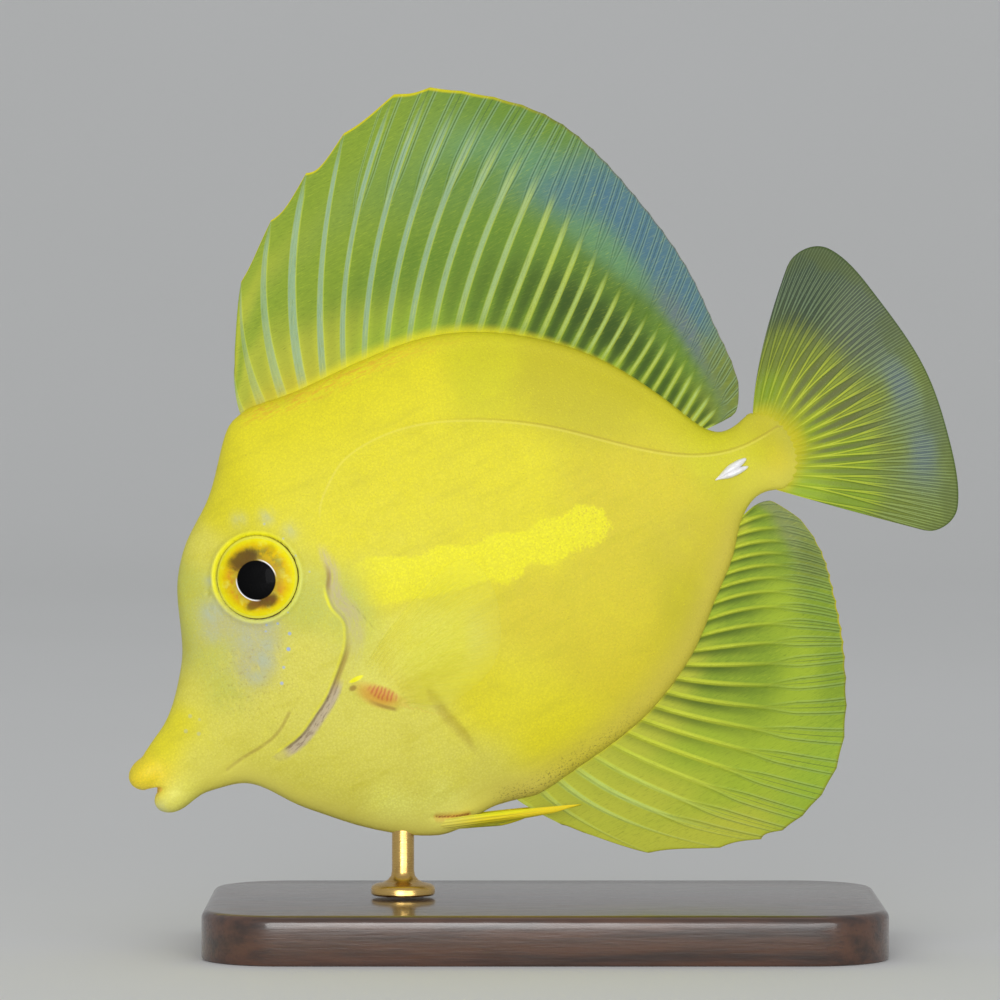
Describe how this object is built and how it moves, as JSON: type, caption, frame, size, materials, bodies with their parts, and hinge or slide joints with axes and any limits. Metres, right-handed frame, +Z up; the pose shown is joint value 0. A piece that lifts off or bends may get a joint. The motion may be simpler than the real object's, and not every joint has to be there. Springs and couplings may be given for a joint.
{
  "type": "fish figure",
  "caption": "Life-size yellow tang, a deep, flat reef fish with tall fins spread, gliding head down, held over a flat display base by a short rod.",
  "frame": {"origin": "middle of the underside of the stand's base", "axes": "+X towards the tail, +Y towards the fish's right side, +Z up"},
  "size_m": [0.0938, 0.046, 0.0971],
  "materials": {
    "head": "satin painted skin, bright yellow",
    "torso": "satin painted skin, bright yellow",
    "tail_stalk": "satin painted skin, bright yellow",
    "gill_cover_left": "satin painted skin, bright yellow",
    "gill_cover_right": "satin painted skin, bright yellow",
    "dorsal_fin": "thin fin membrane, yellow-green to blue-grey",
    "anal_fin": "thin fin membrane, yellow-green",
    "caudal_fin": "thin fin membrane, grey-green",
    "pectoral_fin_left": "thin clear yellow fin membrane",
    "pectoral_fin_right": "thin clear yellow fin membrane",
    "pelvic_fin_left": "thin yellow fin membrane",
    "pelvic_fin_right": "thin yellow fin membrane",
    "eye_left": "glossy golden iris with a black pupil",
    "eye_right": "glossy golden iris with a black pupil",
    "tail_spine_left": "white, satin",
    "tail_spine_right": "white, satin",
    "stand_base": "dark stained and varnished",
    "stand_rod": "satin turned"
  },
  "bodies": {
    "root": {"head": "head", "torso": "torso", "tail_stalk": "tail_stalk", "gill_cover_left": "gill_cover_left", "gill_cover_right": "gill_cover_right", "dorsal_fin": "dorsal_fin", "anal_fin": "anal_fin", "caudal_fin": "caudal_fin", "pectoral_fin_left": "pectoral_fin_left", "pectoral_fin_right": "pectoral_fin_right", "pelvic_fin_left": "pelvic_fin_left", "pelvic_fin_right": "pelvic_fin_right", "eye_left": "eye_left", "eye_right": "eye_right", "tail_spine_left": "tail_spine_left", "tail_spine_right": "tail_spine_right", "stand_base": "stand_base", "stand_rod": "stand_rod"}
  },
  "joints": []
}
